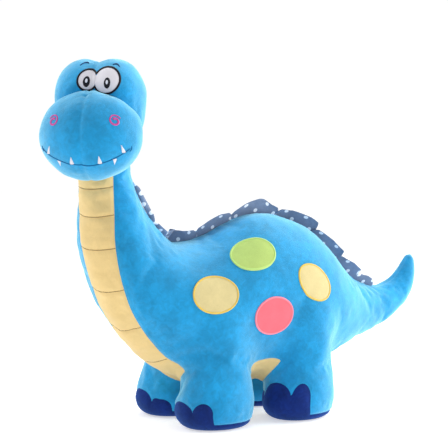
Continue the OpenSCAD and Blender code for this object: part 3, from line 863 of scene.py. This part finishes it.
def head_relief(mesh, field, seed, other, roll):
    """The visible part of a stuffed head skin with its seams, and the whole skin to lay embroidery on."""
    p = mesh.points
    out = mesh.normals()
    push = 0.5 * lumps(p, 38, seed) + 0.1 * lumps(p, 16, seed + 1)
    trial = stuffed(field, lambda q: np.minimum(np.abs(q[:, 1]), np.abs(sample(other, q))), HEAD_CAP)
    push += carried_over(p, *trial)
    mesh.values["side"] = p[:, 1].copy()
    push -= 1.3 * bump(p[:, 1], 1.8) + 1.8 * bump(np.linalg.norm(p - SEAM_END, axis=1), 3.2)
    # the two covers are sewn together, so both roll in along the line where they meet
    push -= roll * np.exp(-np.clip(sample(other, p), 0, None) / 2.5)
    mesh.points = p + push[:, None] * out
    mesh.values["normal"] = mesh.normals()
    whole = tree_of(mesh)
    mesh.values["outside"] = sample(other, mesh.points) + 2.0
    radius = np.hypot(mesh.points[:, 0], mesh.points[:, 1]) - SOCKET_R
    mesh.values["socket"] = np.where(mesh.points[:, 2] < SOCKET_Z, radius, 10.0)
    for key in ("outside", "socket", "side"):
        mesh.cut(key)
    mesh.values["normal"] = unit(mesh.values["normal"])
    keep = (mesh.face_mean(mesh.values["outside"]) > 0) & (mesh.face_mean(mesh.values["socket"]) > 0)
    return mesh.part(keep), whole


crown, crown_whole = head_relief(crown, crown_field, 11, muzzle_field, 0.4)
muzzle, muzzle_whole = head_relief(muzzle, muzzle_field, 12, crown_field, 1.8)
body_tree = tree_of(body)


def drop(tree, starts, ways):
    """Where rays from starts along ways meet a skin, and the skin's outward normals there."""
    shape = starts.shape
    starts, ways = starts.reshape(-1, 3), unit(np.broadcast_to(ways, shape).reshape(-1, 3))
    spots, normals = [], []
    for start, way in zip(starts, ways):
        hit, normal, _, _ = tree.ray_cast(Vector(start), Vector(way))
        if hit is None:
            hit, normal, _, _ = tree.find_nearest(Vector(start))
        if normal.dot(Vector(way)) > 0:
            normal = -normal
        spots.append(hit)
        normals.append(normal)
    return np.array(spots).reshape(shape), np.array(normals).reshape(shape)


def smooth_grid(v, rounds=3, loop=False):
    """A grid of normals evened out with its neighbours."""
    for _ in range(rounds):
        pad = np.concatenate([v[-1:], v, v[:1]]) if loop else np.concatenate([v[:1], v, v[-1:]])
        v = (pad[:-2] + 2 * v + pad[2:]) / 4
        pad = np.concatenate([v[:, :1], v, v[:, -1:]], 1)
        v = (pad[:, :-2] + 2 * v + pad[:, 2:]) / 4
    return unit(v)


def relief(base, out, height, loop=False, under=0.5):
    """A closed solid on a grid of skin points, raised by height along the normals out."""
    rows, cols = base.shape[:2]
    top = base + out * height[..., None]
    low = base - out * under
    n = rows * cols
    index = np.arange(n).reshape(rows, cols)
    a = index if loop else index[:-1]
    b = np.roll(index, -1, 0) if loop else index[1:]
    quads = np.stack([a[:, :-1], a[:, 1:], b[:, 1:], b[:, :-1]], -1).reshape(-1, 4)
    # face the quads outwards
    p = top.reshape(-1, 3)
    q = quads[len(quads) // 2]
    facing = np.cross(p[q[1]] - p[q[0]], p[q[3]] - p[q[0]]) @ out.reshape(-1, 3)[q[0]]
    if facing < 0:
        quads = quads[:, ::-1]
    return Mesh(p, quads).shell(low.reshape(-1, 3))


def join(meshes):
    """One mesh of several, with the values that all of them have."""
    points, faces, count = [], [], 0
    for m in meshes:
        points.append(m.points)
        faces += [tuple(i + count for i in f) for f in m.faces]
        count += len(m.points)
    keys = set.intersection(*(set(m.values) for m in meshes))
    values = {k: np.concatenate([m.values[k] for m in meshes]) for k in keys}
    return Mesh(np.concatenate(points), faces, values)


for way, hand in ((-1, "left"), (1, "right")):
    for mesh, label, nodes in (
        (crown, "crown_cover", [f"crown_{hand}", "head_stuffing"]),
        (muzzle, "muzzle_cover", [f"muzzle_{hand}"]),
    ):
        half = mesh.part(mesh.face_mean(mesh.values["side"]) * way > 0)
        half.points = head_world(half.points)
        half.values["normal"] = spin(half.values["normal"], HEAD_TURN)
        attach(cloth_piece(f"{label}_{hand}", half, BLUE, nodes), "head")

# ---------------------------------------------------------------- embroidery on the face
# each eye's centre (y, z) and half sizes, and its pupil's centre
EYES = ((-20.3, 470.3, 16.0, 16.2, -22.3, 466.5), (5.3, 471.0, 11.4, 12.6, 6.6, 468.5))
EYE_BORDER = 2.6


def face_grid(y, z):
    """Points of the crown's front at (y, z) in the head's frame."""
    starts = np.stack([np.full_like(y, -200.0), y, z], -1)
    base, out = drop(crown_whole, starts, np.array([1.0, 0, 0]))
    return base, smooth_grid(out)


def disc_grid(n):
    """A square grid of n by n places spread over the unit disc."""
    s, t = np.meshgrid(np.linspace(-1, 1, n), np.linspace(-1, 1, n), indexing="ij")
    return s * np.sqrt(1 - t * t / 2), t * np.sqrt(1 - s * s / 2)


def eye_radius(half_y, half_z, angle):
    """How far an oval's edge is from its centre in that direction."""
    return 1 / np.hypot(np.cos(angle) / half_y, np.sin(angle) / half_z)


def eyes_meet():
    """The two points where the eyes' borders cross."""
    (y, z, half_y, half_z), (y2, z2, half_y2, half_z2) = EYES[0][:4], EYES[1][:4]
    a = np.linspace(-math.pi / 2, math.pi * 1.5, 1441)
    r = eye_radius(half_y, half_z, a) + EYE_BORDER / 2
    ring = np.stack([y + r * np.cos(a), z + r * np.sin(a)], -1)
    inside = np.hypot((ring[:, 0] - y2) / (half_y2 + EYE_BORDER / 2),
                      (ring[:, 1] - z2) / (half_z2 + EYE_BORDER / 2)) < 1
    first, last = np.nonzero(inside)[0][[0, -1]]
    return ring[first], ring[last]


def oval(y, z, r_y, r_z, low, high, n=15):
    """A domed oval on the crown's front, low at its edge and high in its middle."""
    s, t = disc_grid(n)
    base, out = face_grid(y + s * r_y, z + t * r_z)
    return relief(base, out, low + (high - low) * (1 - np.clip(np.hypot(s, t), 0, 1) ** 4))


meet_low, meet_high = eyes_meet()
whites, borders, pupils, lights, arcs = [], [], [], [], []
for y, z, half_y, half_z, pupil_y, pupil_z in EYES:
    # an eye ends at the line through the points where the borders cross, room millimetres from its centre
    other_way = unit(np.array([meet_high[1] - meet_low[1], meet_low[0] - meet_high[0]]))
    room = (meet_low - (y, z)) @ other_way
    other_way, room = other_way * np.sign(room), abs(room)
    s, t = disc_grid(25)
    angle, reach = np.arctan2(t, s), np.hypot(s, t)
    toward = np.cos(angle) * other_way[0] + np.sin(angle) * other_way[1]
    edge = eye_radius(half_y, half_z, angle)
    r_here = np.minimum(edge, room / np.maximum(toward, 1e-3)) * reach
    base, out = face_grid(y + r_here * np.cos(angle), z + r_here * np.sin(angle))
    whites.append(relief(base, out, 0.9 - 0.4 * (r_here / edge) ** 6))
    a = np.linspace(0, 2 * math.pi, 160, endpoint=False)
    ring = eye_radius(half_y, half_z, a) + EYE_BORDER / 2
    kept = (np.cos(a) * other_way[0] + np.sin(a) * other_way[1]) * ring < room + 0.3
    a = np.roll(a, -np.argmax(kept & ~np.roll(kept, 1)))[: int(kept.sum())]
    w, dome = across(7)
    ring = eye_radius(half_y, half_z, a)[:, None] + EYE_BORDER * (0.5 + 0.5 * w)
    base, out = face_grid(y + ring * np.cos(a)[:, None], z + ring * np.sin(a)[:, None])
    borders.append(relief(base, out, 0.3 + dome + 0 * a[:, None]))
    pupils.append(oval(pupil_y, pupil_z, 4.2, 7.0, 0.9, 1.25))
    lights.append(oval(pupil_y + 0.2, pupil_z + 1, 1.6, 2.8, 1.2, 1.5, 9))
# each brow line's ends in y, and its height
for start, end, z in ((-24.5, -34, 491), (9.5, 19, 493.3)):
    k = np.linspace(0, 1, 24)[:, None]
    w, dome = across(5)
    y = start + (end - start) * k + 0 * w
    taper = np.sin(math.radians(30) + math.radians(120) * k)
    zz = z + 1.6 * np.sin(math.pi * k) - 3 * k * k + 0.75 * w * taper
    base, out = face_grid(y, zz)
    arcs.append(relief(base, out, 0.2 + 0.9 * dome + 0 * k))

# ---------------------------------------------------------------- embroidery on the muzzle
# places on the muzzle are an azimuth a from its front and an elevation b, in degrees
MOUTH_MID, MOUTH_HALF = -3.0, 60.0


def mouth_b(a):
    """The mouth line's elevation at azimuth a."""
    return -40 + 24 * ((a - MOUTH_MID) / MOUTH_HALF) ** 2


def muzzle_grid(a, b):
    """Points of the muzzle at azimuth a from its front and elevation b, in degrees."""
    a, b = np.radians(a), np.radians(b)
    way = np.stack([-np.cos(b) * np.cos(a) * MUZZLE_R[0], np.cos(b) * np.sin(a) * MUZZLE_R[1],
                    np.sin(b) * MUZZLE_R[2]], -1)
    base, out = drop(muzzle_whole, MUZZLE_C + way * 1.6, -way)
    return base, smooth_grid(out)


def thread(run, height):
    """A raised line of stitches along rows of [azimuth, elevation, half width], all in degrees."""
    run = np.array(run, float)
    along = unit(np.gradient(run[:, :2], axis=0))
    w, dome = across(5)
    a = run[:, 0:1] - along[:, 1:2] * w * run[:, 2:3]
    b = run[:, 1:2] + along[:, 0:1] * w * run[:, 2:3]
    base, out = muzzle_grid(a, b)
    return relief(base, out, 0.15 + height * dome + 0 * a)


mouth_run = np.linspace(MOUTH_MID - MOUTH_HALF, MOUTH_MID + MOUTH_HALF, 90)
mouth = [thread([(a, mouth_b(a), 0.62) for a in mouth_run], 0.9)]
# a short arc across each end of the mouth line
for end in (-1, 1):
    a = MOUTH_MID + end * MOUTH_HALF
    mouth.append(thread([(a + end * 2.5 * math.sin(t), mouth_b(a) - 3.4 * math.cos(t), 0.55)
                         for t in np.linspace(0.3, 2.6, 14)], 0.8))
# azimuth from the mouth's middle, 1 for a tooth that points up, its height and its lean
TEETH = (
    (-52, 1, 10, 7), (-22, 1, 10.5, 3), (17, 1, 10.5, -2), (50, 1, 10, -7),
    (-41, -1, 8.5, -3), (36, -1, 8.5, 4),
)
teeth_low, teeth_high = [], []
for a, up, tall, lean in TEETH:
    k = np.linspace(0, 1, 10)[:, None]
    w, dome = across(7)
    aa = MOUTH_MID + a + w * 3.1 * (1 - 0.96 * k**1.1) + lean * k
    bb = mouth_b(MOUTH_MID + a) + up * (0.8 + tall * k) + 0 * w
    base, out = muzzle_grid(aa, bb)
    tooth = relief(base, out, 0.25 + 0.7 * dome + 0 * k)
    (teeth_low if up > 0 else teeth_high).append(tooth)


def swirl(side):
    """A cheek's swirl, wound inwards with a line that grows thicker."""
    run = []
    for t in np.linspace(0, 1, 60):
        turn, r = math.radians(20 + 480 * t), 8.2 - 5.9 * t
        run.append((MOUTH_MID + side * (39 + r * math.cos(turn)), 19 + r * math.sin(turn), 0.75 + 0.9 * t))
    return thread(run, 0.9)


def on_head(name, meshes, look, node):
    mesh = join(meshes)
    mesh.points = head_world(mesh.points)
    obj = to_object(name, mesh, look)
    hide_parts(node)
    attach(obj, "head")


for node, meshes, look, slot in (
    ("eye_whites", whites, WHITE, "white_thread"),
    ("eye_borders", borders, BLACK, "black_thread"),
    ("pupils", pupils, BLACK, "black_thread"),
    ("eye_highlights", lights, PALE, "white_thread"),
    ("brow_lines", arcs, DARK_BLUE, "dark_blue_thread"),
    ("mouth_line", mouth, MOUTH_BLUE, "dark_blue_thread"),
    ("lower_teeth", teeth_low, WHITE, "white_thread"),
    ("upper_teeth", teeth_high, WHITE, "white_thread"),
):
    on_head(f"{node}_stitched", meshes, look, node)
for way, hand in ((-1, "left"), (1, "right")):
    on_head(f"cheek_swirl_stitched_{hand}", [swirl(way)], ROSE, f"cheek_swirl_{hand}")

# ---------------------------------------------------------------- spots
# row, angle from the back, half length, half height, tilt, cloth, stitched edge, slot
SPOTS = {
    "shoulder": (6.3, 90, 33.5, 25.5, 0, CREAM_PATCH, GOLD_EDGE, "cream_patch"),
    "back": (7.5, 54.5, 31, 20, 0, GREEN_PATCH, GREEN_EDGE, "green_patch"),
    "flank": (8.75, 98, 32, 27, 0, PINK_PATCH, PINK_EDGE, "pink_patch"),
    "rump": (9.9, 75.5, 31, 23.5, -38, CREAM_PATCH, GOLD_EDGE, "cream_patch"),
}
EDGE_W = 2.6


def spot_grid(spot, way, s, t):
    """Skin points at (s, t) millimetres from a spot's centre, seen straight from the side."""
    u, angle, _, _, tilt = spot[:5]
    angle = math.radians(angle) * way
    centre = trunk_point(u, angle)
    facing = trunk_normal(u, angle)
    level = unit(np.array([1.0, 0, 0]) - facing[0] * facing)
    upward = np.cross(facing, level)
    upward = upward * np.sign(upward[2])
    c, d = math.cos(math.radians(tilt)), math.sin(math.radians(tilt))
    x, z = (s * c - t * d) / level[0], (s * d + t * c) / upward[2]
    starts = centre + x[..., None] * level + z[..., None] * upward + 30 * facing
    base, out = drop(body_tree, starts, -facing)
    return base, smooth_grid(out)


for label, spot in SPOTS.items():
    half_l, half_h = spot[2:4]
    for way, hand in ((-1, "left"), (1, "right")):
        s, t = disc_grid(33)
        reach = np.hypot(s, t)
        base, out = spot_grid(spot, way, s * (half_l - 1.2), t * (half_h - 1.2))
        patch = to_object(f"spot_patch_{label}_{hand}", relief(base, out, 1.1 - 0.3 * reach**8), spot[5])
        a = np.linspace(0, 2 * math.pi, 160, endpoint=False)[:, None]
        w, dome = across(7)
        inset = -EDGE_W / 2 + w * EDGE_W / 2
        base, out = spot_grid(spot, way, (half_l + inset) * np.cos(a), (half_h + inset) * np.sin(a))
        edge = relief(base, out, 0.5 + 1.3 * dome + 0 * a, loop=True)
        ring = to_object(f"spot_edge_{label}_{hand}", edge, spot[6])
        for obj in (patch, ring):
            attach(obj, "torso")
        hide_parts(f"spot_{label}_{hand}")

# ---------------------------------------------------------------- stitched rows on the pale strip
lines = []
for row in STITCH_ROWS:
    s = between(TRUNK, row)
    half = math.asin(s[5] / s[4])
    a = np.linspace(-half * 0.97, half * 0.97, 60)[:, None]
    w, dome = across(5)
    gap = np.linalg.norm(trunk_point(row + 0.05, math.pi) - trunk_point(row - 0.05, math.pi)) / 0.1
    rows = row + STITCH_BOW * np.cos(1.2 * a) + 0.55 * w / gap
    starts = trunk_point(rows, math.pi + a, 25.0)
    base, out = drop(body_tree, starts, trunk_point(rows, math.pi + a, 0.0) - starts)
    lines.append(relief(base, smooth_grid(out), 0.1 + 0.5 * dome + 0 * a))
stitching = to_object("strip_stitching", join(lines), TAN)
bend(stitching)

# ---------------------------------------------------------------- frill
# piece, first row, last row, top edge as (share of the length, height), lean to the left in degrees
PLATES = (
    ("neck", 1.2, 2.7, ((0, 0), (0.15, 5), (0.5, 6), (0.85, 6), (1, 2)), 15),
    ("neck", 2.6, 4.15, ((0, 1), (0.15, 6), (0.5, 8), (0.85, 7), (1, 3)), 35),
    ("back", 3.7, 5.85, ((0, 8), (0.06, 17), (0.2, 20), (0.6, 17), (0.92, 14), (1, 8)), 30),
    ("back", 5.8, 7.5, ((0, 7), (0.07, 15), (0.4, 20), (0.75, 20), (0.95, 14), (1, 7)), 35),
    ("back", 7.45, 9.5, (
        (0, 6), (0.08, 12), (0.3, 19), (0.53, 25), (0.6, 24.5), (0.8, 16), (0.96, 12), (1, 6)), 35),
    ("back", 9.45, 11.1, ((0, 6), (0.08, 13), (0.4, 18), (0.75, 22), (0.93, 22), (1, 10)), 42),
    ("tail", 11.0, 12.4, ((0, 6), (0.1, 14), (0.5, 21), (0.85, 22), (1, 10)), 44),
    ("tail", 12.3, 13.8, ((0, 6), (0.1, 15), (0.5, 21), (0.85, 20), (1, 9)), 40),
    ("tail", 13.7, 15.2, ((0, 6), (0.15, 12), (0.5, 15), (0.85, 11), (1, 3)), 34),
)
DOT_GAP = 30.0


def plate(first, last, edge, lean, seed):
    """One padded plate of the frill, with the distance to its nearest dot as tone."""
    cols = np.linspace(0, 1, 29)
    k = np.linspace(0, 1, 37)[:, None]
    u = first + (last - first) * k
    tall = np.interp(k[:, 0], *np.array(edge).T)[:, None]
    foot = trunk_point(u[:, 0], ridge_phi(u[:, 0]), 0.0)
    along = unit(np.gradient(foot, axis=0))
    out = trunk_normal(u[:, 0], ridge_phi(u[:, 0]))
    left = unit(np.cross(along, out))
    out = unit(np.cross(left, along))
    length = np.concatenate([[0], np.cumsum(np.linalg.norm(np.diff(foot, axis=0), axis=1))])[:, None]
    # once round the section: up the left face, over the edge, down the right face
    v = np.concatenate([cols, cols[::-1]])[None, :]
    face = np.concatenate([np.ones(len(cols)), -np.ones(len(cols))])[None, :]
    swell = np.sin(math.pi * np.clip(v * 0.93 + 0.12, 0, 1)) ** 0.6
    ends = np.clip(np.sin(math.pi * np.clip(k, 0.03, 0.97)), 0, 1) ** 0.4
    thick = (0.8 + 2.6 * swell) * (0.35 + 0.65 * ends)
    rng = np.random.default_rng(seed)
    wave = sum(np.sin(length / size + rng.uniform(0, 6.3)) * amp for size, amp in ((9.0, 1.3), (4.6, 0.5)))
    bow = math.radians(lean) * (0.35 + 0.65 * v)
    sideways = np.sin(bow) * v * tall + wave * v**1.5 + face * thick
    upward = np.cos(bow) * v * tall - 1.5 * (1 - v)
    points = foot[:, None] + out[:, None] * upward[..., None] + left[:, None] * sideways[..., None]
    dots = np.full(points.shape[:2], FAR)
    first_dot = rng.uniform(0, DOT_GAP)
    for i in range(-1, 6):
        for share, half in ((0.2, 0), (0.78, 0.5)):
            along_plate = first_dot + (i + half) * DOT_GAP
            dots = np.minimum(dots, np.hypot(length - along_plate, (v - share) * tall))
    rows, count = points.shape[:2]
    index = np.arange(rows * count).reshape(rows, count)
    faces = [*tube(index), index[0][::-1], index[-1]]
    mesh = Mesh(points.reshape(-1, 3), faces, {"tone": dots.ravel()})
    mesh.face_outwards()
    return mesh


for part in ("neck", "back", "tail"):
    mesh = join([plate(*p[1:], seed=30 + i) for i, p in enumerate(PLATES) if p[0] == part])
    obj = to_object(f"{part}_frill_cloth", mesh, FRILL)
    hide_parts(f"{part}_frill")
    if part == "back":
        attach(obj, "torso")
    else:
        bend(obj)

# ---------------------------------------------------------------- studio
# the direction from the photo's viewpoint past the toy, and the background's strength behind and in front
AWAY = (0.53, 0.848, 0.0)
BACK_LIGHT, FRONT_LIGHT = 1.02, 0.5
# half the floor's length, in metres
FLOOR = 6


def make_world():
    """A white studio that is brighter behind the toy than in front of it."""
    world = bpy.data.worlds.new("studio")
    world.use_nodes = True
    tree = world.node_tree
    shade = tree.nodes["Background"]
    shade.inputs["Color"].default_value = (1, 1, 1, 1)
    place = tree.nodes.new("ShaderNodeTexCoord")
    facing = tree.nodes.new("ShaderNodeVectorMath")
    facing.operation = "DOT_PRODUCT"
    facing.inputs[1].default_value = AWAY
    tree.links.new(place.outputs["Generated"], facing.inputs[0])
    level = remap(tree, facing.outputs["Value"], -0.5, 0.8, FRONT_LIGHT, BACK_LIGHT)
    tree.links.new(level, shade.inputs["Strength"])
    bpy.context.scene.world = world


def make_floor():
    """A plain pale sheet. It glows a little, so no edge shows against the background in the photo's view."""
    data = bpy.data.meshes.new("floor")
    corners = [(-FLOOR, -FLOOR, 0), (FLOOR, -FLOOR, 0), (FLOOR, FLOOR, 0), (-FLOOR, FLOOR, 0)]
    data.from_pydata(corners, [], [(0, 1, 2, 3)])
    paper = bpy.data.materials.new("paper")
    paper.use_nodes = True
    shader = paper.node_tree.nodes["Principled BSDF"]
    shader.inputs["Base Color"].default_value = (0.74, 0.74, 0.74, 1)
    shader.inputs["Roughness"].default_value = 1.0
    shader.inputs["Specular IOR Level"].default_value = 0.0
    shader.inputs["Emission Color"].default_value = (1, 1, 1, 1)
    shader.inputs["Emission Strength"].default_value = 0.52
    data.materials.append(paper)
    floor = bpy.data.objects.new("floor", data)
    bpy.context.scene.collection.objects.link(floor)


def make_lamp(name, place, target, power, size):
    lamp = bpy.data.lights.new(name, "AREA")
    lamp.energy, lamp.size = power, size
    obj = bpy.data.objects.new(name, lamp)
    obj.location = place
    obj.rotation_mode = "QUATERNION"
    obj.rotation_quaternion = (Vector(target) - Vector(place)).to_track_quat("-Z", "Y")
    bpy.context.scene.collection.objects.link(obj)


make_world()
make_floor()
# name, place, target, power in watts, size; lengths in metres
for lamp in (
    ("left_rim", (-1.4, 1.0, 1.3), (-0.1, 0, 0.35), 14, 0.8),
    ("right_rim", (1.75, 0.15, 0.9), (0, 0, 0.2), 26, 1.0),
    ("right", (1.7, -1.05, 0.9), (0, 0, 0.25), 25, 0.8),
    ("top", (0.1, 0.2, 2.2), (0, 0, 0.2), 14, 1.4),
    ("front", (-1.3, -2.2, 1.0), (0, 0, 0.2), 5, 0.8),
):
    make_lamp(*lamp)
bpy.context.scene.view_settings.view_transform = "Standard"
